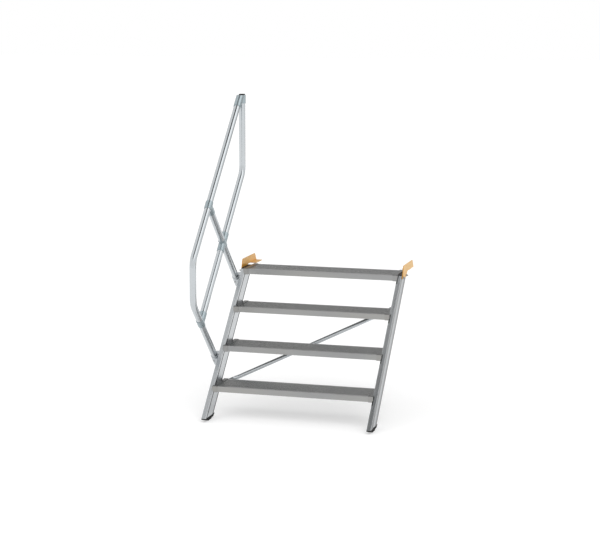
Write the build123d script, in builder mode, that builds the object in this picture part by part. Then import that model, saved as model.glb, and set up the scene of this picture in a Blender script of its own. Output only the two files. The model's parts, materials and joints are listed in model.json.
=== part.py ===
from build123d import *
from math import atan2, cos, sin, tan
import os

os.makedirs("parts", exist_ok=True)

# Flight: four treads between two sloping stringers
tread_count = 4
first_rise = 192.0
rise = 208.0
going = 208.0
clear_width = 990.0

# Tread: a ribbed plank, open underneath, with a lip at the front and the back
tread_depth = 215.0
tread_height = 33.5
tread_rear_height = 24.0
tread_top_wall = 3.0
tread_lip_wall = 3.0
tread_web_wall = 2.5
tread_web_count = 2
tread_foot_flange = 9.0
tread_foot_wall = 2.5
tread_edge_radius = 1.5
rib_pitch = 8.0
rib_gap = 4.0
rib_height = 1.0
nose_flat = 14.0

# Tread end fitting: a sleeve over each end of a tread
fitting_length = 26.0
fitting_wall = 2.5
fitting_end_wall = 3.0
fitting_clearance = 0.2
fitting_nose_lap = 5.0

# Stringer: a hollow grooved section, cut level at the floor and at the top
stringer_thickness = 27.0
stringer_depth = 107.0
stringer_setback = 16.6
stringer_corner_radius = 2.0
stringer_wall = 3.0
stringer_outer_wall = 5.0
stringer_foot_cut = 23.0
recess_width = 43.0
recess_depth = 2.0
slot_width = 6.0
slot_depth = 6.5
slot_wall = 2.0
front_slot_at = 18.0
rear_slot_at = 10.0
front_flute_count = 6
front_flute_pitch = 3.0
front_flute_width = 1.2
front_flute_depth = 0.8
front_flute_start = 3.5

# Feet and top caps, pushed into the stringers
foot_inset = 1.0
foot_toe_lift = 17.0
foot_toe_length = 57.0
foot_step_height = 6.0
foot_heel_length = 34.0
foot_heel_slant = 4.0
foot_heel_reach = 18.0
foot_heel_edge = 5.0
plug_depth = 20.0
plug_clearance = 0.4
cap_thickness = 4.0

# Tubes of the handrail: its own end and the upright's stop short of where the two would cross
tube_diameter = 40.0
tube_wall = 2.0
tube_clearance = 0.15
handrail_above = 694.0
handrail_end_short = 80.0
knee_rail_above = 327.0
post_spacing = 600.0
handrail_upright_reach = 360.0
tube_bend_radius = 100.0
upright_back = 765.0
upright_top_short = 31.5
rail_end_gap = 0.5
end_plug_thickness = 5.5
end_plug_inset = 1.0
end_plug_wall = 0.4

# Tube connectors: sleeves on the tube that runs through, stubs for the tubes that end there
sleeve_wall = 3.0
sleeve_half_length = 27.0
stub_length = 70.0
connector_edge = 1.0
top_sleeve_length = 54.0
top_stub_short = 145.0

# Post brackets on the outer face of the left stringer
bracket_plate = 4.0
socket_rim_drop = 6.5
socket_length = 86.0
socket_floor = 5.0
wing_drop = 16.0
wing_reach = 37.0
wing_tail = 24.0
wing_inset = 4.0
wing_clearance = 1.3

# Top brackets: sheet plates with a level flange, placed from the top tread's front edge
top_plate = 5.0
top_plate_lap = 26.0
top_plate_front = 29.0
top_plate_lean = 34.0
top_plate_neck = 101.0
top_arm_height = 49.0
top_arm_lift = 4.0
top_arm_relief = 1.0
top_arm_start = 168.0
top_arm_reach = 348.0
top_arm_slant = 34.0
top_flange_width = 45.0
top_flange_start = 219.0
top_flange_length = 116.0

# Diagonal brace behind the treads, its ends pressed flat and held off the treads by spacers
brace_diameter = 25.0
brace_clearance = 0.4
brace_bolt_inset = 38.0
brace_bolt_drop = 12.0
brace_tab_root = 16.0
brace_tab_tip = 14.0
brace_tab_width = 30.0
brace_tab_thickness = 5.0
brace_press_length = 30.0
brace_spacer_diameter = 16.0

# Values that follow from the sizes above
slope = atan2(rise, going)
inner_face = clear_width / 2
outer_face = inner_face + stringer_thickness
top_level = first_rise + (tread_count - 1) * rise
top_front = (tread_count - 1) * going
channel_height = slot_depth + slot_wall
tube_radius = tube_diameter / 2
bore_radius = tube_radius + tube_clearance
sleeve_radius = bore_radius + sleeve_wall
rail_offset = outer_face + bracket_plate + sleeve_radius
socket_rim = -stringer_setback - socket_rim_drop
socket_bottom = socket_rim - socket_length
flange_level = top_level + top_arm_lift

# The upper post bracket ends just under the top bracket's lower edge
wing_front = -stringer_setback - wing_drop
wing_room = top_level - top_plate_lap - first_rise - wing_front * cos(slope)
upper_post_along = wing_room / sin(slope) - wing_reach - wing_clearance
lower_post_along = upper_post_along - post_spacing

# Where the middle lines of the handrail and the upright would cross
crossing_along = (upright_back + handrail_above * sin(slope)) / cos(slope)
crossing_up = first_rise + crossing_along * sin(slope) + handrail_above * cos(slope)
handrail_end = crossing_along - handrail_end_short
top_stub_start = crossing_along - top_stub_short
upright_top = crossing_up - upright_top_short

# The origin is the middle of the underside of the left top bracket's flange
origin_x = -(outer_face + top_plate - top_flange_width / 2)
origin_y = top_front + top_flange_start + top_flange_length / 2
origin_z = flange_level


def place(across, back, up):
    """Point of the part from distances off the middle of the width, the first nose and the floor."""
    return Vector(across - origin_x, back - origin_y, up - origin_z)


def side_plane(across):
    """Upright plane along the stair: local x runs back and local y up from the floor."""
    return Plane(origin=place(across, 0, 0), x_dir=(0, 1, 0), z_dir=(1, 0, 0))


def level_plane(up):
    """Level plane: local x runs across and local y back."""
    return Plane(origin=place(0, 0, up), x_dir=(1, 0, 0), z_dir=(0, 0, 1))


def on_slope(along, above):
    """Back and up of a point given along the line of the noses and square to it."""
    back = along * cos(slope) - above * sin(slope)
    up = first_rise + along * sin(slope) + above * cos(slope)
    return (back, up)


def across_slope_plane(across, along, above):
    """Plane square to the slope, facing up it: local y runs from the front to the rear."""
    back, up = on_slope(along, above)
    return Plane(origin=place(across, back, up), x_dir=(1, 0, 0), z_dir=(0, cos(slope), sin(slope)))


def post_plane(across, along, above):
    """Plane square to the posts, facing up along a post."""
    back, up = on_slope(along, above)
    return Plane(origin=place(across, back, up), x_dir=(1, 0, 0), z_dir=(0, -sin(slope), cos(slope)))


def save(piece, name):
    """Write one finished piece under its name."""
    piece.label = name
    export_step(piece, f"parts/{name}.step")


# Stringers


def stringer_back(up, depth):
    """How far back a point of the stringer lies at a height, at a depth behind its front face."""
    return ((up - first_rise) * cos(slope) + (stringer_setback + depth)) / sin(slope)


def make_stringer(side):
    """One stringer, its section swept along the slope and cut level at both ends."""
    inner = side * inner_face
    overshoot = stringer_depth
    low = -first_rise / sin(slope) - 2 * overshoot
    high = top_front / cos(slope) + 3 * overshoot
    middle = side * (inner_face + stringer_thickness / 2)
    section = across_slope_plane(0, low, -stringer_setback)
    cavity_thickness = stringer_thickness - stringer_wall - stringer_outer_wall
    cavity_middle = side * (inner_face + stringer_wall + cavity_thickness / 2)
    recess_radius = (recess_width**2 / 4 + recess_depth**2) / (2 * recess_depth)
    slots = (front_slot_at, stringer_depth - rear_slot_at)
    channel_half = slot_width / 2 + slot_wall
    front_channel = (slots[0] - channel_half, slots[0] + channel_half)
    rear_channel = (slots[1] - channel_half, stringer_depth - stringer_wall)
    with BuildPart() as stringer:
        with BuildSketch(section):
            with Locations((middle, stringer_depth / 2)):
                RectangleRounded(stringer_thickness, stringer_depth, stringer_corner_radius)
            with Locations((side * (outer_face - recess_depth + recess_radius), stringer_depth / 2)):
                Circle(recess_radius, mode=Mode.SUBTRACT)
            for flute in range(front_flute_count):
                across = outer_face - front_flute_start - flute * front_flute_pitch
                with Locations((side * across, 0)):
                    Rectangle(front_flute_width, 2 * front_flute_depth, mode=Mode.SUBTRACT)
            with Locations((cavity_middle, stringer_depth / 2)):
                Rectangle(cavity_thickness, stringer_depth - 2 * stringer_wall, mode=Mode.SUBTRACT)
            for front_edge, rear_edge in (front_channel, rear_channel):
                with Locations((inner + side * channel_height / 2, (front_edge + rear_edge) / 2)):
                    Rectangle(channel_height, rear_edge - front_edge)
            for slot in slots:
                with Locations((inner, slot)):
                    Rectangle(2 * slot_depth, slot_width, mode=Mode.SUBTRACT)
        extrude(amount=high - low)
        split(bisect_by=level_plane(stringer_foot_cut), keep=Keep.TOP)
        split(bisect_by=level_plane(top_level - cap_thickness), keep=Keep.BOTTOM)
    return stringer.part


def make_plug(side, cut_level, depth):
    """Stub that fills the stringer's hollow from a level cut, down if the depth is negative."""
    front = stringer_wall + plug_clearance
    rear = stringer_depth - stringer_wall - plug_clearance
    low_side = inner_face + channel_height + plug_clearance
    high_side = outer_face - stringer_outer_wall - plug_clearance
    far_level = cut_level + depth
    with BuildPart() as plug:
        with BuildSketch(side_plane(side * low_side)):
            with BuildLine():
                Polyline(
                    (stringer_back(cut_level, front), cut_level),
                    (stringer_back(cut_level, rear), cut_level),
                    (stringer_back(far_level, rear), far_level),
                    (stringer_back(far_level, front), far_level),
                    close=True,
                )
            make_face()
        extrude(amount=side * (high_side - low_side))
    return plug.part


def make_foot(side):
    """Rubber foot under the level cut: a long slanted toe, a sole on the floor and a stepped heel."""
    cut = stringer_foot_cut
    front = stringer_back(cut, 0)
    rear = stringer_back(cut, stringer_depth)
    heel = rear - foot_heel_length
    near_side = inner_face + foot_inset
    far_side = outer_face - foot_inset
    plug = make_plug(side, cut, plug_depth)
    with BuildPart() as foot:
        with BuildSketch(side_plane(side * near_side)):
            with BuildLine():
                Polyline(
                    (front, cut),
                    (front, foot_toe_lift),
                    (front + foot_toe_length, 0),
                    (heel - foot_step_height, 0),
                    (heel, foot_step_height),
                    (rear - foot_heel_slant, foot_step_height),
                    (rear + foot_heel_reach, cut - foot_heel_edge),
                    (rear + foot_heel_reach, cut),
                    close=True,
                )
            make_face()
        extrude(amount=side * (far_side - near_side))
        add(plug)
    return foot.part


def make_cap(side):
    """Plastic cap on the level top of a stringer."""
    cut = top_level - cap_thickness
    plug = make_plug(side, cut, -plug_depth)
    with BuildPart() as cap:
        with BuildSketch(side_plane(side * inner_face)):
            with BuildLine():
                Polyline(
                    (stringer_back(cut, 0), cut),
                    (stringer_back(cut, stringer_depth), cut),
                    (stringer_back(top_level, stringer_depth), top_level),
                    (stringer_back(top_level, 0), top_level),
                    close=True,
                )
            make_face()
        extrude(amount=side * stringer_thickness)
        add(plug)
    return cap.part


for side, word in ((-1, "left"), (1, "right")):
    save(make_stringer(side), f"{word}_stringer")
    save(make_foot(side), f"{word}_foot")
    save(make_cap(side), f"{word}_stringer_cap")


# Treads

tread_end = inner_face - fitting_end_wall
rib_span = tread_depth - 2 * nose_flat
rib_gap_count = int(rib_span // rib_pitch)
nose_extra = tread_height - tread_rear_height
bay_width = (tread_depth - 2 * tread_lip_wall - tread_web_count * tread_web_wall) / (tread_web_count + 1)


def make_tread(step):
    """One ribbed tread: its section runs across the whole width between the end fittings."""
    front = step * going
    top = first_rise + step * rise
    middle = front + tread_depth / 2
    bay_height = tread_height - rib_height - tread_top_wall
    with BuildPart() as tread:
        with BuildSketch(side_plane(-tread_end)):
            with Locations((middle, top - tread_height / 2)):
                RectangleRounded(tread_depth, tread_height, tread_edge_radius)
            with Locations((middle, top)):
                with GridLocations(rib_pitch, 1, rib_gap_count, 1):
                    Rectangle(rib_gap, 2 * rib_height, mode=Mode.SUBTRACT)
            for bay in range(tread_web_count + 1):
                back = front + tread_lip_wall + bay * (bay_width + tread_web_wall)
                with Locations((back, top - tread_height)):
                    Rectangle(bay_width, bay_height, align=(Align.MIN, Align.MIN), mode=Mode.SUBTRACT)
            shallow_start = front + tread_lip_wall + bay_width + tread_web_wall
            with Locations((shallow_start, top - tread_height)):
                Rectangle(tread_depth, nose_extra, align=(Align.MIN, Align.MIN), mode=Mode.SUBTRACT)
            with Locations((front, top - tread_height)):
                Rectangle(tread_foot_flange, tread_foot_wall, align=(Align.MIN, Align.MIN))
            with Locations((front + tread_depth, top - tread_rear_height)):
                Rectangle(tread_foot_flange, tread_foot_wall, align=(Align.MAX, Align.MIN))
        extrude(amount=2 * tread_end)
    return tread.part


def make_fitting(step, side):
    """End fitting: a closed sleeve over the tread's end, notched round the stringer at the nose."""
    front = step * going
    top = first_rise + step * rise
    middle = front + tread_depth / 2
    centre = top - tread_height / 2
    sleeve_start = inner_face - fitting_length
    nose_end = inner_face + fitting_nose_lap
    outer_depth = tread_depth + 2 * fitting_wall + 2 * fitting_clearance
    outer_height = tread_height + 2 * fitting_wall + 2 * fitting_clearance
    low = centre - outer_height
    high = centre + outer_height
    with BuildPart() as fitting:
        with BuildSketch(side_plane(side * sleeve_start)):
            with Locations((middle, centre)):
                RectangleRounded(outer_depth, outer_height, fitting_wall)
        extrude(amount=side * (nose_end - sleeve_start))
        with BuildSketch(side_plane(side * sleeve_start)):
            with Locations((middle, centre)):
                Rectangle(tread_depth + 2 * fitting_clearance, tread_height + 2 * fitting_clearance)
        extrude(amount=side * (tread_end - sleeve_start), mode=Mode.SUBTRACT)
        with BuildSketch(side_plane(side * inner_face)):
            with BuildLine():
                Polyline(
                    (stringer_back(low, 0), low),
                    (stringer_back(low, 0) + 2 * outer_depth, low),
                    (stringer_back(high, 0) + 2 * outer_depth, high),
                    (stringer_back(high, 0), high),
                    close=True,
                )
            make_face()
        extrude(amount=side * 2 * fitting_nose_lap, mode=Mode.SUBTRACT)
    return fitting.part


for step in range(tread_count):
    save(make_tread(step), f"tread_{step + 1}")
    for side, word in ((-1, "left"), (1, "right")):
        save(make_fitting(step, side), f"tread_{step + 1}_{word}_fitting")


# Handrail tubes

rail_across = -rail_offset
handrail_foot = socket_bottom + socket_floor
upright_bend = on_slope(0, knee_rail_above)
upright_bend_up = upright_bend[1] + (upright_back - upright_bend[0]) * tan(slope)


def make_bent_tube(points):
    """Round tube along straight runs in the rail plane, bent where they meet."""
    with BuildPart() as tube:
        with BuildLine(side_plane(rail_across)) as route:
            FilletPolyline(*points, radius=tube_bend_radius)
        with BuildSketch(Plane(origin=route.line @ 0, z_dir=route.line % 0)):
            Circle(tube_radius)
            Circle(tube_radius - tube_wall, mode=Mode.SUBTRACT)
        sweep(path=route.line)
    return tube.part


def make_straight_tube(start_plane, length):
    """Round tube from a plane square to it."""
    with BuildPart() as tube:
        with BuildSketch(start_plane):
            Circle(tube_radius)
            Circle(tube_radius - tube_wall, mode=Mode.SUBTRACT)
        extrude(amount=length)
    return tube.part


# The handrail rises as the lower post, runs upright for a while and then follows the slope
handrail_upright_back = lower_post_along * cos(slope) - handrail_upright_reach
lower_bend_above = handrail_upright_reach / sin(slope)
upper_bend_along = (handrail_upright_back + handrail_above * sin(slope)) / cos(slope)
handrail_points = (
    on_slope(lower_post_along, handrail_foot),
    on_slope(lower_post_along, lower_bend_above),
    on_slope(upper_bend_along, handrail_above),
    on_slope(handrail_end, handrail_above),
)
save(make_bent_tube(handrail_points), "handrail")

upper_post_start = post_plane(rail_across, upper_post_along, handrail_foot)
upper_post_length = handrail_above - tube_radius - rail_end_gap - handrail_foot
save(make_straight_tube(upper_post_start, upper_post_length), "upper_post")

lower_knee_start = lower_post_along + tube_radius + rail_end_gap
lower_knee_length = post_spacing - tube_diameter - 2 * rail_end_gap
lower_knee_plane = across_slope_plane(rail_across, lower_knee_start, knee_rail_above)
save(make_straight_tube(lower_knee_plane, lower_knee_length), "lower_knee_rail")

upper_knee_points = (
    on_slope(upper_post_along + tube_radius + rail_end_gap, knee_rail_above),
    (upright_back, upright_bend_up),
    (upright_back, upright_top),
)
save(make_bent_tube(upper_knee_points), "upper_knee_rail")


# Tube connectors


def facing_down(plane):
    """The same plane turned to face the other way."""
    return Plane(origin=plane.origin, x_dir=plane.x_dir, z_dir=-plane.z_dir)


def make_arm(plane, length):
    """One round arm of a connector, from its centre out to a chamfered rim."""
    with BuildPart() as arm:
        with BuildSketch(plane):
            Circle(sleeve_radius)
        extrude(amount=length)
        rims = arm.edges().filter_by(GeomType.CIRCLE)
        chamfer(rims.sort_by_distance(plane.origin)[-1], connector_edge)
    return arm.part


def make_tee(through_plane, stub_planes):
    """Connector with a sleeve round a tube that runs through and a stub on each given plane."""
    with BuildPart() as tee:
        add(make_arm(through_plane, sleeve_half_length))
        add(make_arm(facing_down(through_plane), sleeve_half_length))
        for stub_plane in stub_planes:
            add(make_arm(stub_plane, stub_length))
        with BuildSketch(through_plane):
            Circle(bore_radius)
        extrude(amount=2 * sleeve_half_length, both=True, mode=Mode.SUBTRACT)
        for stub_plane in stub_planes:
            with BuildSketch(stub_plane):
                Circle(bore_radius)
            extrude(amount=2 * stub_length, mode=Mode.SUBTRACT)
    return tee.part


handrail_joint = across_slope_plane(rail_across, upper_post_along, handrail_above)
handrail_joint_post = post_plane(rail_across, upper_post_along, handrail_above)
save(make_tee(handrail_joint, [facing_down(handrail_joint_post)]), "handrail_connector")

middle_joint = post_plane(rail_across, upper_post_along, knee_rail_above)
middle_joint_rail = across_slope_plane(rail_across, upper_post_along, knee_rail_above)
save(make_tee(middle_joint, [middle_joint_rail, facing_down(middle_joint_rail)]), "middle_connector")

lower_joint = post_plane(rail_across, lower_post_along, knee_rail_above)
lower_joint_rail = across_slope_plane(rail_across, lower_post_along, knee_rail_above)
save(make_tee(lower_joint, [lower_joint_rail]), "lower_connector")

# Top connector: the handrail meets the upright at an acute angle under a level top
upright_foot_plane = Plane(place(rail_across, upright_back, upright_top - top_sleeve_length))
top_stub_plane = across_slope_plane(rail_across, top_stub_start, handrail_above)
with BuildPart() as top_connector:
    with BuildSketch(upright_foot_plane):
        Circle(sleeve_radius)
    extrude(amount=top_sleeve_length)
    with BuildSketch(top_stub_plane):
        Circle(sleeve_radius)
    extrude(amount=2 * (handrail_end - top_stub_start))
    split(bisect_by=level_plane(upright_top), keep=Keep.BOTTOM)
    with BuildSketch(upright_foot_plane):
        Circle(bore_radius)
    extrude(amount=top_sleeve_length, mode=Mode.SUBTRACT)
    with BuildSketch(top_stub_plane):
        Circle(bore_radius)
    extrude(amount=handrail_end - top_stub_start + rail_end_gap, mode=Mode.SUBTRACT)
save(top_connector.part, "top_connector")

# Plug in the open top end of the upright
with BuildPart() as end_plug:
    with BuildSketch(Plane(place(rail_across, upright_back, upright_top))):
        Circle(tube_radius - end_plug_inset)
    extrude(amount=end_plug_thickness)
    with BuildSketch(Plane(place(rail_across, upright_back, upright_top - plug_depth))):
        Circle(tube_radius - tube_wall - end_plug_wall)
    extrude(amount=plug_depth)
save(end_plug.part, "upright_end_plug")


# Post brackets


def make_post_bracket(along):
    """Socket for a post, cast on a flat base that is bolted to the stringer's outer face."""
    wing_top = along + wing_reach
    wing_rear = socket_bottom
    with BuildPart() as bracket:
        with BuildSketch(post_plane(rail_across, along, socket_bottom)):
            Circle(sleeve_radius)
        extrude(amount=socket_length)
        chamfer(bracket.edges().filter_by(GeomType.CIRCLE), connector_edge)
        with BuildSketch(side_plane(-outer_face)):
            with BuildLine():
                Polyline(
                    on_slope(along - sleeve_radius, wing_front),
                    on_slope(wing_top, wing_front),
                    on_slope(wing_top, wing_front - wing_tail),
                    on_slope(along + sleeve_radius, wing_rear),
                    on_slope(along - sleeve_radius, wing_rear),
                    close=True,
                )
            make_face()
        extrude(amount=-(bracket_plate + sleeve_radius - wing_inset))
        with BuildSketch(post_plane(rail_across, along, socket_bottom + socket_floor)):
            Circle(bore_radius)
        extrude(amount=2 * socket_length, mode=Mode.SUBTRACT)
    return bracket.part


save(make_post_bracket(lower_post_along), "lower_post_bracket")
save(make_post_bracket(upper_post_along), "upper_post_bracket")


# Top brackets


def make_top_bracket(side):
    """Bent plate that hangs the stair on a landing: an upright arm and a level inward flange."""
    arm_top = flange_level + top_arm_height
    arm_bottom = flange_level + top_arm_relief
    with BuildPart() as bracket:
        with BuildSketch(side_plane(side * outer_face)):
            with BuildLine():
                Polyline(
                    (top_front + top_plate_front, top_level - top_plate_lap),
                    (top_front + top_plate_front + top_plate_lean, arm_top),
                    (top_front + top_arm_reach - top_arm_slant, arm_top),
                    (top_front + top_arm_reach, arm_bottom),
                    (top_front + top_arm_start, arm_bottom),
                    (top_front + top_plate_front + top_plate_neck, top_level - top_plate_lap),
                    close=True,
                )
            make_face()
        extrude(amount=side * top_plate)
        outer_x = side * (outer_face + top_plate)
        flange_back = top_front + top_flange_start
        with BuildSketch(level_plane(flange_level)):
            with Locations((outer_x - side * top_flange_width / 2, flange_back + top_flange_length / 2)):
                Rectangle(top_flange_width, top_flange_length)
        extrude(amount=top_plate)
    return bracket.part


for side, word in ((-1, "left"), (1, "right")):
    save(make_top_bracket(side), f"{word}_top_bracket")


# Brace

corner_above = -(tread_depth * sin(slope) + tread_rear_height * cos(slope))
brace_above = corner_above - brace_diameter / 2 - brace_clearance
brace_bolt_back = (-brace_bolt_drop * cos(slope) - brace_above) / sin(slope)
brace_spacer_length = brace_bolt_back - tread_depth - brace_tab_thickness / 2
brace_bolt_half_span = inner_face - brace_bolt_inset
brace_steps = 2


def make_brace_end(end, bolt, run):
    """Pressed end of the brace: round at the tube, then a flat tab upright behind the tread."""
    outward = Vector(run.X, 0, run.Z).normalized() * end
    tube_tip = bolt - run.normalized() * end * (brace_tab_root + brace_press_length)
    tab_root = Plane(origin=bolt - outward * brace_tab_root, x_dir=(0, 1, 0), z_dir=outward)
    with BuildPart() as brace_end:
        with BuildSketch(Plane(origin=tube_tip, x_dir=(0, 1, 0), z_dir=run * end)):
            Circle(brace_diameter / 2)
        with BuildSketch(tab_root):
            SlotOverall(brace_tab_width, brace_tab_thickness, rotation=90)
        loft(ruled=True)
        with BuildSketch(tab_root):
            SlotOverall(brace_tab_width, brace_tab_thickness, rotation=90)
        extrude(amount=brace_tab_root + brace_tab_tip)
    return brace_end.part


def make_brace():
    """Round brace from the bottom tread's left end to the right end of the tread two steps up."""
    low_bolt = place(-brace_bolt_half_span, brace_bolt_back, first_rise - brace_bolt_drop)
    high_bolt = low_bolt + Vector(2 * brace_bolt_half_span, brace_steps * going, brace_steps * rise)
    run = high_bolt - low_bolt
    trim = run.normalized() * (brace_tab_root + brace_press_length)
    ends = [make_brace_end(-1, low_bolt, run), make_brace_end(1, high_bolt, run)]
    with BuildPart() as brace:
        with BuildSketch(Plane(origin=low_bolt + trim, z_dir=run)):
            Circle(brace_diameter / 2)
        extrude(amount=run.length - 2 * trim.length)
        add(ends)
    return brace.part


def make_spacer(side, step):
    """Round spacer between a tread's rear lip and the brace's tab."""
    back = step * going + tread_depth
    up = first_rise + step * rise - brace_bolt_drop
    centre = place(side * brace_bolt_half_span, back, up)
    with BuildPart() as spacer:
        with BuildSketch(Plane(origin=centre, x_dir=(1, 0, 0), z_dir=(0, 1, 0))):
            Circle(brace_spacer_diameter / 2)
        extrude(amount=brace_spacer_length)
    return spacer.part


save(make_brace(), "brace")
save(make_spacer(-1, 0), "left_brace_spacer")
save(make_spacer(1, brace_steps), "right_brace_spacer")
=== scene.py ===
import json
import math
from collections import namedtuple

import bmesh
import bpy
from mathutils import Matrix, Vector


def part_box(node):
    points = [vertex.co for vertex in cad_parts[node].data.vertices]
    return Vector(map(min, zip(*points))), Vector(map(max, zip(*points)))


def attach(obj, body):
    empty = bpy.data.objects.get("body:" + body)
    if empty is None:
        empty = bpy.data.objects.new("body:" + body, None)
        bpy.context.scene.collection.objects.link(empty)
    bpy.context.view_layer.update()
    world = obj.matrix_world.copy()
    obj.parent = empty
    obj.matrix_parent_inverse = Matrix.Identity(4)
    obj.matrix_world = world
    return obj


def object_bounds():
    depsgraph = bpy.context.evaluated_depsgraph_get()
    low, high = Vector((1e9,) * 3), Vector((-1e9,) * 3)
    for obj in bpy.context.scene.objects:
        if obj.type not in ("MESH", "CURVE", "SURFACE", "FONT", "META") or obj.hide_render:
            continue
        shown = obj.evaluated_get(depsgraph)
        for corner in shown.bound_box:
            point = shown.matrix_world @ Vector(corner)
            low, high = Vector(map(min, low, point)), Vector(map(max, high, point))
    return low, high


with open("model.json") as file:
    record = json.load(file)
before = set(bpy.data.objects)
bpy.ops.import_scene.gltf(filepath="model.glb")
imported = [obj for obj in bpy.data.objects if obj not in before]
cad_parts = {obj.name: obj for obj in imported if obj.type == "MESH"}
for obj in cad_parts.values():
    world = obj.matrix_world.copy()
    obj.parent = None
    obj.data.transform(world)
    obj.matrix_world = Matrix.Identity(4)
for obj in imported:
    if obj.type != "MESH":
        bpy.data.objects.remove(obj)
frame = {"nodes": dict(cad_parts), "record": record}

cad_low, cad_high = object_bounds()
nodes = frame["nodes"]

# Sizes of the stair, in metres as all sizes here
ORIGIN = Vector((-0.5045, 0.901, 0.820))
FIRST_RISE = 0.192
RISE = 0.208
GOING = 0.208
SLOPE = math.atan2(RISE, GOING)
FLOOR_LEVEL = cad_low.z

# Directions of the stair
FRONT_OF_SLOPE = (0.0, -math.sin(SLOPE), math.cos(SLOPE))
REAR_OF_SLOPE = (0.0, math.sin(SLOPE), -math.cos(SLOPE))
UP = (0.0, 0.0, 1.0)
TO_FRONT = (0.0, -1.0, 0.0)
TO_RIGHT = (1.0, 0.0, 0.0)


def place(across, back, up):
    """Point from its distances off the middle of the width, the first nose and the floor."""
    return Vector((across, back, up)) - ORIGIN


def on_slope(along, above):
    """Back and up of a point given along the line of the noses and square to it."""
    back = along * math.cos(SLOPE) - above * math.sin(SLOPE)
    up = FIRST_RISE + along * math.sin(SLOPE) + above * math.cos(SLOPE)
    return back, up


def add_object(name, data):
    """New object in the scene."""
    item = bpy.data.objects.new(name, data)
    bpy.context.scene.collection.objects.link(item)
    return item


def mesh_object(name, mesh):
    """New object in the scene from a finished bmesh."""
    data = bpy.data.meshes.new(name)
    mesh.to_mesh(data)
    mesh.free()
    return add_object(name, data)


# Materials

# Turns that lay the long axis of a texture along the run of a piece
ALONG_SLOPE = (SLOPE, 0.0, 0.0)
ACROSS_STAIR = (0.0, 0.0, math.radians(90))
UPRIGHT = (math.radians(90), 0.0, 0.0)
SQUARE_TO_SLOPE = (SLOPE + math.radians(90), 0.0, 0.0)
ALONG_BRACE = (math.radians(24.5), 0.0, math.radians(-65.5))

WHITE = (1.0, 1.0, 1.0, 1.0)
BLACK = (0.0, 0.0, 0.0, 1.0)


class Surface:
    """A material with its shader and short ways to add nodes to it."""

    def __init__(self, name):
        self.material = bpy.data.materials.new(name)
        self.material.use_nodes = True
        self.tree = self.material.node_tree
        self.tree.nodes.clear()
        output = self.add("ShaderNodeOutputMaterial")
        self.shader = self.add("ShaderNodeBsdfPrincipled")
        self.join(self.shader.outputs["BSDF"], output.inputs["Surface"])

    def add(self, kind, operation=None):
        """A new node, set to its operation if it has one."""
        node = self.tree.nodes.new(kind)
        if operation:
            node.operation = operation
        return node

    def join(self, source, target):
        """A link from an output to an input."""
        self.tree.links.new(source, target)

    def put(self, source, socket):
        """A value, or another node's output, into a socket."""
        if isinstance(source, bpy.types.NodeSocket):
            self.join(source, socket)
        else:
            socket.default_value = source

    def shade(self, **sockets):
        """Values or outputs into the shader's sockets, with _ for a space in their names."""
        for name, source in sockets.items():
            self.put(source, self.shader.inputs[name.replace("_", " ")])

    def noise(self, waves, turn=(0.0, 0.0, 0.0), detail=3.0):
        """Noise with so many waves in a metre along each axis of a turned frame."""
        mapping = self.add("ShaderNodeMapping")
        mapping.vector_type = "TEXTURE"
        mapping.inputs["Rotation"].default_value = turn
        mapping.inputs["Scale"].default_value = [1 / count for count in waves]
        texture = self.add("ShaderNodeTexNoise")
        texture.inputs["Scale"].default_value = 1.0
        texture.inputs["Detail"].default_value = detail
        self.join(self.add("ShaderNodeTexCoord").outputs["Object"], mapping.inputs["Vector"])
        self.join(mapping.outputs["Vector"], texture.inputs["Vector"])
        return texture.outputs["Fac"]

    def distance(self, direction, start):
        """How far a point of the surface lies from a start point along a direction."""
        offset = self.add("ShaderNodeVectorMath", "SUBTRACT")
        offset.inputs[1].default_value = start
        dot = self.add("ShaderNodeVectorMath", "DOT_PRODUCT")
        dot.inputs[1].default_value = direction
        self.join(self.add("ShaderNodeTexCoord").outputs["Object"], offset.inputs[0])
        self.join(offset.outputs["Vector"], dot.inputs[0])
        return dot.outputs["Value"]

    def facing(self, direction, start=0.8, end=0.95):
        """1 on faces that look along a direction, 0 on the others."""
        dot = self.add("ShaderNodeVectorMath", "DOT_PRODUCT")
        dot.inputs[1].default_value = direction
        self.join(self.add("ShaderNodeNewGeometry").outputs["True Normal"], dot.inputs[0])
        return self.spread(dot.outputs["Value"], 0.0, 1.0, start, end)

    def spread(self, value, low, high, start=0.3, end=0.7):
        """The value moved from a range of its own to the range low to high."""
        change = self.add("ShaderNodeMapRange")
        change.inputs["From Min"].default_value = start
        change.inputs["From Max"].default_value = end
        change.inputs["To Min"].default_value = low
        change.inputs["To Max"].default_value = high
        self.join(value, change.inputs["Value"])
        return change.outputs["Result"]

    def below(self, value, limit, edge):
        """1 up to a limit and 0 past it, with a soft edge between."""
        return self.spread(value, 1, 0, limit, limit + edge)

    def calculate(self, operation, *terms):
        """One sum, each term a number or another node's output."""
        node = self.add("ShaderNodeMath", operation)
        for term, socket in zip(terms, node.inputs):
            self.put(term, socket)
        return node.outputs["Value"]

    def both(self, first, second):
        """1 where two masks are 1."""
        return self.calculate("MULTIPLY", first, second)

    def blend(self, factor, first, second, kind="MIX"):
        """Colour between two, each a colour or another node's output."""
        mix = self.add("ShaderNodeMix")
        mix.data_type = "RGBA"
        mix.blend_type = kind
        self.join(factor, mix.inputs["Factor"])
        for source, socket in ((first, mix.inputs["A"]), (second, mix.inputs["B"])):
            if isinstance(source, tuple):
                source = (*source, 1.0)
            self.put(source, socket)
        return mix.outputs["Result"]

    def darken(self, colour, mask, shade):
        """The colour times a shade, where the mask is 1."""
        return self.blend(mask, colour, (shade, shade, shade), "MULTIPLY")

    def bump(self, value, strength, distance):
        """Fine relief from a value."""
        bump = self.add("ShaderNodeBump")
        bump.inputs["Strength"].default_value = strength
        bump.inputs["Distance"].default_value = distance
        self.join(value, bump.inputs["Height"])
        self.join(bump.outputs["Normal"], self.shader.inputs["Normal"])


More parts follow.
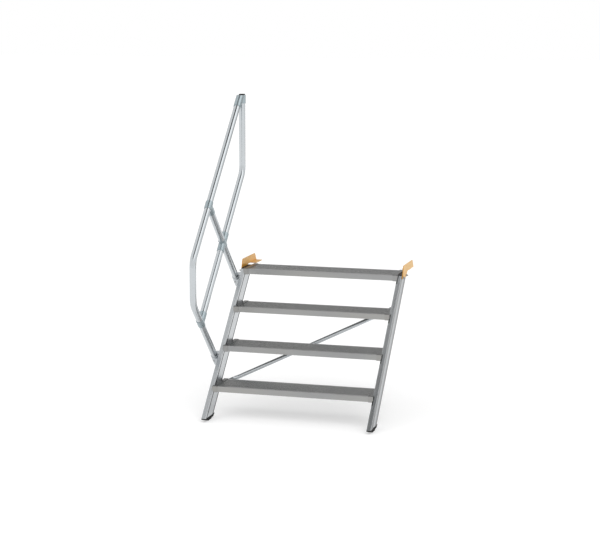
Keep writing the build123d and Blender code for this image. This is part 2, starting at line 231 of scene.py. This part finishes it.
def share_of_rise(surface, level):
    """How far a point is above the last of a row of levels a rise apart, as a share of the rise."""
    height = surface.distance(UP, (0.0, 0.0, level))
    return surface.calculate("FRACT", surface.calculate("DIVIDE", height, RISE))


# Two tones of a metal, and its roughness on the smoothest and the roughest streaks
Metal = namedtuple("Metal", "light dark smooth rough")

EXTRUDED = Metal((0.61, 0.63, 0.645), (0.58, 0.60, 0.615), 0.24, 0.34)
TUBE = Metal((0.585, 0.615, 0.635), (0.55, 0.58, 0.60), 0.13, 0.18)
BRACE_TUBE = Metal(TUBE.light, TUBE.dark, 0.16, 0.22)
CAST = Metal((0.55, 0.58, 0.6), (0.51, 0.54, 0.56), 0.34, 0.44)
ZINC = Metal((0.5, 0.5, 0.49), (0.42, 0.42, 0.41), 0.28, 0.38)

STREAK_WAVES = (240, 2, 240)
STREAK_STRENGTH = 0.02
STREAK_HEIGHT = 0.0002
PATCH_WAVES = (7, 2.5, 7)
PATCH_SHADE = 0.93
PATCH_SHARE = 0.6


def drawn_metal(surface, metal, turn):
    """Colour of drawn or extruded metal: fine streaks along its run and broad soft patches."""
    streaks = surface.noise(STREAK_WAVES, turn)
    patches = surface.noise(PATCH_WAVES, turn, detail=2.0)
    tone = surface.blend(surface.spread(streaks, 0, 1), metal.dark, metal.light)
    surface.shade(Metallic=1.0, Roughness=surface.spread(streaks, metal.smooth, metal.rough))
    surface.bump(streaks, STREAK_STRENGTH, STREAK_HEIGHT)
    return surface.darken(tone, surface.spread(patches, PATCH_SHARE, 0), PATCH_SHADE)


def metal_surface(name, metal, turn):
    """Metal of one finish all over."""
    surface = Surface(name)
    surface.shade(Base_Color=drawn_metal(surface, metal, turn))
    return surface.material


# Stringer: depths behind its front face, widths out from its inner face, and the heights
# between which the painted shade and light on its front change. Each shade here is painted shade
STRINGER_SETBACK = 0.0166
INNER_FACE = 0.495
OUTER_SHADE = 0.74
FRONT_BAND_END = 0.038
FRONT_BAND_SHADE = 0.4
REAR_BAND_START = 0.075
REAR_BAND_SHADE = 0.34
BAND_EDGE = 0.002
WEB_SHADE = 0.93
SLOT_MIDDLES = (0.018, 0.097)
SLOT_HALF = 0.0042
SLOT_EDGE = 0.0006
SLOT_BOTTOM = 0.0068
SLOT_BOTTOM_EDGE = 0.0004
SLOT_SHADE = 0.06
FRONT_CHANGE_START = 0.1
FRONT_CHANGE_END = 0.85
NOSE_SHADE_DROP = 0.048
NOSE_SHADE_HEIGHT = 0.044
NOSE_SHADE_HEIGHT_EDGE = 0.004
NOSE_SHADE_WIDTH = 0.0075
NOSE_SHADE_WIDTH_EDGE = 0.002


def slot_mask(surface, depth, width):
    """1 in the two slots of a stringer's inner face, where painted shade goes."""
    beside = []
    for middle in SLOT_MIDDLES:
        off = surface.calculate("ABSOLUTE", surface.calculate("SUBTRACT", depth, middle))
        beside.append(surface.below(off, SLOT_HALF, SLOT_EDGE))
    inside = surface.below(width, SLOT_BOTTOM, SLOT_BOTTOM_EDGE)
    return surface.both(inside, surface.calculate("MAXIMUM", *beside))


def nose_mask(surface, width):
    """1 on a strip below each nose, beside the treads, where painted shade goes."""
    share = share_of_rise(surface, FLOOR_LEVEL + FIRST_RISE - NOSE_SHADE_DROP)
    start = NOSE_SHADE_HEIGHT / RISE
    end = (NOSE_SHADE_HEIGHT + NOSE_SHADE_HEIGHT_EDGE) / RISE
    beside = surface.below(width, NOSE_SHADE_WIDTH, NOSE_SHADE_WIDTH_EDGE)
    return surface.both(surface.spread(share, 1, 0, start, end), beside)


def stringer_surface(name, side, painted_front_low, painted_front_high, painted_nose_shade):
    """Stringer with painted shade: dark in its slots and below the noses, darker on its inner and
    outer faces, with two darker bands on its outer face.

    The painted shade and light on its front change from the low factor near the floor to the high
    factor near the top.
    """
    surface = Surface(name)
    tone = drawn_metal(surface, EXTRUDED, ALONG_SLOPE)
    depth = surface.distance(REAR_OF_SLOPE, place(0, *on_slope(0, -STRINGER_SETBACK)))
    width = surface.distance((side, 0.0, 0.0), place(side * INNER_FACE, 0, 0))

    outer = surface.facing((side, 0.0, 0.0))
    front_band = surface.below(depth, FRONT_BAND_END, BAND_EDGE)
    rear_band = surface.spread(depth, 0, 1, REAR_BAND_START, REAR_BAND_START + BAND_EDGE)
    # Painted shade: the outer face darker all over, and darker still on its front and rear bands
    tone = surface.darken(tone, outer, OUTER_SHADE)
    tone = surface.darken(tone, surface.both(outer, front_band), FRONT_BAND_SHADE)
    tone = surface.darken(tone, surface.both(outer, rear_band), REAR_BAND_SHADE)

    # Painted shade on the inner face, and deep painted shade in its two slots
    tone = surface.darken(tone, surface.facing((-side, 0.0, 0.0)), WEB_SHADE)
    tone = surface.darken(tone, slot_mask(surface, depth, width), SLOT_SHADE)

    # Painted shade and light on the front face, which change with height
    front = surface.facing(FRONT_OF_SLOPE)
    height = surface.distance(UP, (0.0, 0.0, FLOOR_LEVEL))
    low = surface.spread(height, 1, 0, FRONT_CHANGE_START, FRONT_CHANGE_END)
    tone = surface.darken(tone, front, painted_front_high)
    tone = surface.darken(tone, surface.both(front, low), painted_front_low / painted_front_high)
    # Painted shade and reflection on a strip of the front below each nose
    tone = surface.darken(tone, surface.both(front, nose_mask(surface, width)), painted_nose_shade)
    surface.shade(Base_Color=tone)
    return surface.material


# Tread: its ribs' flanks, which get painted shade, are found by their height, as a share of the
# rise
TREAD_LINE_WAVES = (90, 1.0, 90)
TREAD_PATCH_WAVES = (5, 1.6, 5)
TREAD_TINT_WAVES = (2, 2.2, 2)
TREAD_SMOOTH = 0.28
TREAD_ROUGH = 0.34
WARM_TINT = (1.02, 1.0, 0.96)
WARM_SHARE = 0.7
RIB_FOOT = 0.0012
RIB_SHARE = 0.012
RIB_SHARE_EDGE = 0.008
RIB_FLANK_SHADE = 0.6


def tread_surface(name, top_light, top_dark, side_light, side_dark):
    """Tread section: one pair of tones on top and one on the lips, with painted shade on the rib
    flanks.
    """
    surface = Surface(name)
    lines = surface.noise(TREAD_LINE_WAVES, ACROSS_STAIR, detail=2.0)
    patches = surface.noise(TREAD_PATCH_WAVES, ACROSS_STAIR, detail=2.0)
    tints = surface.noise(TREAD_TINT_WAVES, ACROSS_STAIR, detail=1.0)
    top = surface.blend(surface.spread(lines, 0, 1), top_dark, top_light)
    side = surface.blend(surface.spread(patches, 0, 1), side_dark, side_light)
    warm = tuple(part * tint for part, tint in zip(side_light, WARM_TINT))
    warmth = surface.spread(tints, 0, WARM_SHARE, start=0.4, end=0.6)
    side = surface.blend(warmth, side, warm)
    tone = surface.blend(surface.facing(UP, start=0.6, end=0.9), side, top)
    share = share_of_rise(surface, FLOOR_LEVEL + FIRST_RISE - RIB_FOOT)
    at_ribs = surface.below(share, RIB_SHARE, RIB_SHARE_EDGE)
    flanks = surface.both(at_ribs, surface.facing(TO_FRONT))
    surface.shade(
        Base_Color=surface.darken(tone, flanks, RIB_FLANK_SHADE),
        Metallic=1.0,
        Roughness=surface.spread(lines, TREAD_SMOOTH, TREAD_ROUGH),
    )
    return surface.material


# Two tones of a coat, its middle roughness and how many grains a metre it has
Coat = namedtuple("Coat", "light dark roughness grain")

BLUE_GREY = Coat((0.40, 0.465, 0.49), (0.35, 0.41, 0.435), 0.24, 400)
RUBBER = Coat((0.008, 0.008, 0.008), (0.005, 0.005, 0.005), 0.7, 500)
BLACK_PLASTIC = Coat((0.01, 0.01, 0.011), (0.007, 0.007, 0.008), 0.5, 500)
RIGHT_ORANGE = Coat((0.96, 0.61, 0.25), (0.91, 0.57, 0.22), 0.42, 400)
# A darker copy of the right bracket's orange, as painted shade on the left bracket
LEFT_ORANGE_PAINTED_SHADE = Coat((0.88, 0.53, 0.19), (0.83, 0.48, 0.16), 0.42, 400)

COAT_PATCH_WAVES = (9, 9, 9)
GRAIN_ROUGHNESS = 0.05
GRAIN_STRENGTH = 0.04
GRAIN_HEIGHT = 0.0003


def coat_finish(surface, coat):
    """Colour of a coat, rubber or plastic: fine grain and a slow change of tone."""
    grain = surface.noise((coat.grain, coat.grain, coat.grain), detail=2.0)
    patches = surface.noise(COAT_PATCH_WAVES)
    smooth = coat.roughness - GRAIN_ROUGHNESS
    rough = coat.roughness + GRAIN_ROUGHNESS
    surface.shade(Roughness=surface.spread(grain, smooth, rough))
    surface.bump(grain, GRAIN_STRENGTH, GRAIN_HEIGHT)
    return surface.blend(surface.spread(patches, 0, 1), coat.dark, coat.light)


def coated_surface(name, coat, shine, metal=0.0):
    """Coat of one colour all over, with a share of a metal's look."""
    surface = Surface(name)
    surface.shade(
        Base_Color=coat_finish(surface, coat),
        Specular_IOR_Level=shine,
        Metallic=metal,
    )
    return surface.material


# Orange coat: the low zone of painted shade is measured up a slightly tilted line from a point
ORANGE_SHINE = 0.2
LOW_ZONE_TILT = (0.0, 0.13, 1.0)
LOW_ZONE_FRONT = (0.0, -0.245, 0.0)
LOW_ZONE_TOP = 0.012
LOW_ZONE_EDGE = 0.016
FRONT_EDGE_PAINTED_SHADE = (0.72, 0.56, 0.22)
LEVEL_SHADE = 0.8


def orange_surface(name, coat, low_painted_shade):
    """Orange coat with painted shade: a deeper, darker orange on front faces, darker on level
    faces, and darker low on right faces.
    """
    surface = Surface(name)
    tone = coat_finish(surface, coat)
    # Painted shade low on right-facing faces
    height = surface.distance(LOW_ZONE_TILT, LOW_ZONE_FRONT)
    low_zone = surface.below(height, LOW_ZONE_TOP, LOW_ZONE_EDGE)
    low_part = surface.both(surface.facing(TO_RIGHT), low_zone)
    tone = surface.blend(low_part, tone, low_painted_shade, "MULTIPLY")
    # Painted shade: front faces a deeper, darker orange, and level faces darker
    front_edge = surface.facing(TO_FRONT, start=0.5, end=0.8)
    tone = surface.blend(front_edge, tone, FRONT_EDGE_PAINTED_SHADE, "MULTIPLY")
    tone = surface.darken(tone, surface.facing(UP), LEVEL_SHADE)
    surface.shade(Base_Color=tone, Specular_IOR_Level=ORANGE_SHINE)
    return surface.material


slot_materials = {
    "rail_tube": metal_surface("tube_metal", TUBE, ALONG_SLOPE),
    "brace": metal_surface("brace_metal", BRACE_TUBE, ALONG_BRACE),
    "post_bracket": metal_surface("bracket_metal", CAST, UPRIGHT),
    "fastener": metal_surface("bolt_metal", ZINC, UPRIGHT),
    "tread": tread_surface(
        "tread_metal",
        top_light=(0.56, 0.562, 0.56),
        top_dark=(0.51, 0.512, 0.51),
        side_light=(0.36, 0.363, 0.362),
        side_dark=(0.315, 0.318, 0.32),
    ),
    "tread_fitting": tread_surface(
        "fitting_metal",
        top_light=(0.2, 0.2, 0.2),
        top_dark=(0.17, 0.17, 0.17),
        side_light=(0.33, 0.331, 0.328),
        side_dark=(0.305, 0.305, 0.302),
    ),
    "connector": coated_surface("connector_coat", BLUE_GREY, shine=0.5, metal=0.8),
    # Right bracket: slight painted shade on its low zone
    "top_bracket": orange_surface("orange_coat_right", RIGHT_ORANGE, (1.0, 0.95, 0.9)),
    "foot_rubber": coated_surface("foot_rubber", RUBBER, shine=0.2),
    "cap_plastic": coated_surface("cap_plastic", BLACK_PLASTIC, shine=0.25),
}

node_materials = {
    "upper_post": metal_surface("post_tube_metal", TUBE, SQUARE_TO_SLOPE),
    # Stringers: painted shade and light on their fronts, low and high, and painted shade below the
    # noses
    "left_stringer": stringer_surface(
        "left_stringer_metal", side=-1.0, painted_front_low=0.8, painted_front_high=0.96, painted_nose_shade=0.9
    ),
    "right_stringer": stringer_surface(
        "right_stringer_metal", side=1.0, painted_front_low=0.58, painted_front_high=1.25, painted_nose_shade=0.15
    ),
    # Left bracket: its darker orange and the deep tint on its low zone are painted shade
    "left_top_bracket": orange_surface("orange_coat_left_painted_shade", LEFT_ORANGE_PAINTED_SHADE, (0.62, 0.48, 0.08)),
}

for row in frame["record"]["subparts"]:
    node = nodes[row["node"]]
    if row["node"] in node_materials:
        material = node_materials[row["node"]]
    else:
        material = slot_materials[row["material_slot"]]
    node.data.materials.clear()
    node.data.materials.append(material)


# Bolts

HEX_FLATS = 0.013
HEX_HEIGHT = 0.0053
HEX_CORNERS = 6
WASHER_RADIUS = 0.008
WASHER_HEIGHT = 0.0016
WASHER_CORNERS = 32
SHANK_RADIUS = 0.004
SHANK_CORNERS = 24
EDGE = 0.0007


def bolt_rings(scale, tail):
    """Radius and height of the rings of a bolt's washer, head and thread end above its seat."""
    hexagon = HEX_FLATS / math.sqrt(3) * scale
    washer = WASHER_RADIUS * scale
    washer_top = WASHER_HEIGHT * scale
    head_top = (WASHER_HEIGHT + HEX_HEIGHT) * scale
    shank = SHANK_RADIUS * scale
    washer_rings = [
        (washer, 0.0),
        (washer, washer_top - EDGE / 2),
        (washer - EDGE / 2, washer_top),
    ]
    head_rings = [
        (hexagon, washer_top),
        (hexagon, head_top - EDGE),
        (hexagon - EDGE, head_top),
    ]
    shank_rings = [
        (shank, head_top),
        (shank, head_top + tail),
        (shank - EDGE, head_top + tail + EDGE),
    ]
    return washer_rings, head_rings, shank_rings


def add_rings(mesh, rings, corners):
    """Closed body of revolution, or a prism where the corners are few."""
    loops = []
    for radius, height in rings:
        loop = []
        for corner in range(corners):
            angle = 2 * math.pi * corner / corners
            point = (radius * math.cos(angle), radius * math.sin(angle), height)
            loop.append(mesh.verts.new(point))
        loops.append(loop)
    for lower, upper in zip(loops, loops[1:]):
        for corner in range(corners):
            after = (corner + 1) % corners
            mesh.faces.new((lower[corner], lower[after], upper[after], upper[corner]))
    mesh.faces.new(reversed(loops[0]))
    mesh.faces.new(loops[-1])


def make_bolt(name, seat, direction, scale=1.0, tail=0.0):
    """Hexagon head on a washer, along a direction from its seat, with a thread end past it."""
    washer, head, shank = bolt_rings(scale, tail)
    mesh = bmesh.new()
    add_rings(mesh, washer, WASHER_CORNERS)
    add_rings(mesh, head, HEX_CORNERS)
    if tail > 0:
        add_rings(mesh, shank, SHANK_CORNERS)
    turn = Vector(direction).to_track_quat("Z", "Y").to_matrix().to_4x4()
    bmesh.ops.transform(mesh, matrix=Matrix.Translation(seat) @ turn, verts=mesh.verts)
    piece = mesh_object(name, mesh)
    piece.data.materials.append(slot_materials["fastener"])
    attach(piece, "root")


# Top brackets: two bolts each, through the stringer's top, at these places back and up
BRACKET_BOLTS = ((0.668, 0.798), (0.752, 0.800))
BRACKET_BOLT_TAIL = 0.006
for word, side in (("left", -1), ("right", 1)):
    low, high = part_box(f"{word}_top_bracket")
    for number, (back, up) in enumerate(BRACKET_BOLTS, start=1):
        seat = place(0, back, up)
        seat.x = high.x if side > 0 else low.x
        make_bolt(f"{word}_bracket_bolt_{number}", seat, (side, 0, 0), tail=BRACKET_BOLT_TAIL)


# Brace: one bolt at each end, behind the flat tab, under the step that the end is at
BRACE_BOLT_DROP = 0.012
BRACE_BOLT_ACROSS = 0.457
BRACE_BOLT_TAIL = 0.003
BRACE_TAB_THICKNESS = 0.005
for word, side, step in (("left", -1, 0), ("right", 1, 2)):
    low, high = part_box(f"{word}_brace_spacer")
    seat = place(side * BRACE_BOLT_ACROSS, 0, FIRST_RISE + step * RISE - BRACE_BOLT_DROP)
    seat.y = high.y + BRACE_TAB_THICKNESS
    make_bolt(f"{word}_brace_bolt", seat, (0, 1, 0), tail=BRACE_BOLT_TAIL)


# Post brackets: a small bolt in the front of each socket, which pinches the post
RAIL_ACROSS = -0.54915
SOCKET_RADIUS = 0.02315
SOCKET_RIM = -0.0231
PINCH_DROP = 0.037
PINCH_TURN = math.radians(72)
PINCH_SCALE = 0.62
PINCH_SINK = 0.0005
up_slope = Vector((0, math.cos(SLOPE), math.sin(SLOPE)))
for word, along in (("lower", 0.240), ("upper", 0.840)):
    back, up = on_slope(along, SOCKET_RIM - PINCH_DROP)
    out = Vector((-math.cos(PINCH_TURN), 0, 0)) - math.sin(PINCH_TURN) * up_slope
    seat = place(RAIL_ACROSS, back, up) + (SOCKET_RADIUS - PINCH_SINK) * out
    make_bolt(f"{word}_bracket_pinch_bolt", seat, out, scale=PINCH_SCALE)


# Floor and world: the camera and shiny faces see them whiter than they light the stair

FLOOR_MIDDLE = (0.5, 0.0, FLOOR_LEVEL)
FLOOR_REACH = 60.0
FLOOR_TONE = 0.65
FLOOR_ROUGHNESS = 0.9
FLOOR_LIFT = 0.42
WORLD_LIGHT = 0.8
WORLD_SEEN = 1.0

LAID_FLAT = (0.0, 0.0, 0.0)
ON_EDGE = (math.radians(90), 0.0, 0.0)


def stage_plane(name, middle, half_x, half_y, turn):
    """Flat stage piece."""
    mesh = bmesh.new()
    bmesh.ops.create_grid(mesh, x_segments=1, y_segments=1, size=1.0)
    bmesh.ops.scale(mesh, vec=(half_x, half_y, 1.0), verts=mesh.verts)
    plane = mesh_object(name, mesh)
    plane.location = middle
    plane.rotation_euler = turn
    return plane


def seen_directly(tree):
    """1 for what the camera, mirrors and glass see, 0 for the light that falls on matt faces."""
    path = tree.nodes.new("ShaderNodeLightPath")
    total = path.outputs["Is Camera Ray"]
    for name in ("Is Glossy Ray", "Is Transmission Ray"):
        either = tree.nodes.new("ShaderNodeMath")
        either.operation = "MAXIMUM"
        tree.links.new(total, either.inputs[0])
        tree.links.new(path.outputs[name], either.inputs[1])
        total = either.outputs["Value"]
    return total


floor = stage_plane("floor", FLOOR_MIDDLE, FLOOR_REACH, FLOOR_REACH, LAID_FLAT)
floor_surface = Surface("floor_pale")
floor_seen = seen_directly(floor_surface.tree)
floor_surface.shade(
    Base_Color=(FLOOR_TONE, FLOOR_TONE, FLOOR_TONE, 1.0),
    Roughness=FLOOR_ROUGHNESS,
    Specular_IOR_Level=0.0,
    Emission_Color=WHITE,
    Emission_Strength=floor_surface.spread(floor_seen, 0.0, FLOOR_LIFT, 0.0, 1.0),
)
floor.data.materials.append(floor_surface.material)

world = bpy.data.worlds.new("studio")
bpy.context.scene.world = world
world.use_nodes = True
world_tree = world.node_tree
background = world_tree.nodes["Background"]
background.inputs["Color"].default_value = WHITE
world_level = world_tree.nodes.new("ShaderNodeMapRange")
world_level.inputs["To Min"].default_value = WORLD_LIGHT
world_level.inputs["To Max"].default_value = WORLD_SEEN
world_tree.links.new(seen_directly(world_tree), world_level.inputs["Value"])
world_tree.links.new(world_level.outputs["Result"], background.inputs["Strength"])


# Studio cards, which only shiny faces show: the ribbed tops show the rear card, and what
# runs up the slope shows the dark card overhead and the bright one to its right

def studio_card(name, middle, half_x, half_y, turn, level, core):
    """Card of one level up to a share of its size, which turns white towards its edges."""
    card = stage_plane(name, middle, half_x, half_y, turn)
    surface = Surface(name)
    across = surface.distance((1 / half_x, 0, 0), (0, 0, 0))
    over = surface.distance((0, 1 / half_y, 0), (0, 0, 0))
    sizes = (surface.calculate("ABSOLUTE", across), surface.calculate("ABSOLUTE", over))
    rim = surface.calculate("MAXIMUM", *sizes)
    surface.shade(
        Base_Color=BLACK,
        Specular_IOR_Level=0.0,
        Emission_Color=WHITE,
        Emission_Strength=surface.spread(rim, level, 1.0, core, 1.0),
    )
    card.data.materials.append(surface.material)
    card.visible_camera = False
    card.visible_diffuse = False
    card.visible_shadow = False
    card.visible_transmission = False


studio_card("rear_card", (-2.0, 12.0, 4.0), 16.0, 5.0, ON_EDGE, level=0.55, core=0.9)
studio_card("overhead_card", (0.55, 0.0, 6.0), 1.35, 8.0, LAID_FLAT, level=0.1, core=0.88)
studio_card("bright_card", (4.6, 0.0, 6.0), 2.6, 8.0, LAID_FLAT, level=1.55, core=0.9)


# Lamps

def soft_sun(name, location, spread, strength):
    """Wide soft sun that shines from a point's direction onto the middle of the stage."""
    data = bpy.data.lights.new(name, "SUN")
    data.angle = spread
    data.energy = strength
    lamp = add_object(name, data)
    lamp.location = location
    lamp.rotation_euler = (-Vector(location)).to_track_quat("-Z", "Y").to_euler()
    lamp.visible_glossy = False


soft_sun("key_lamp", (4.0, -5.0, 8.0), spread=math.radians(50), strength=0.65)
soft_sun("fill_lamp", (-5.0, -3.0, 6.0), spread=math.radians(70), strength=0.3)


# Camera

LENS = 99.80
SENSOR_WIDTH = 36.0
CLIP_END = 200.0
CAMERA_PLACE = (3.2238, -10.1988, 1.6760)
CAMERA_TILT = math.radians(80.796)
CAMERA_HEADING = math.radians(16.005)

camera_data = bpy.data.cameras.new("camera")
camera_data.lens = LENS
camera_data.sensor_width = SENSOR_WIDTH
camera_data.clip_end = CLIP_END
camera = add_object("camera", camera_data)
camera.location = CAMERA_PLACE
camera.rotation_euler = (CAMERA_TILT, 0.0, CAMERA_HEADING)
bpy.context.scene.camera = camera
bpy.context.scene.view_settings.view_transform = "Standard"
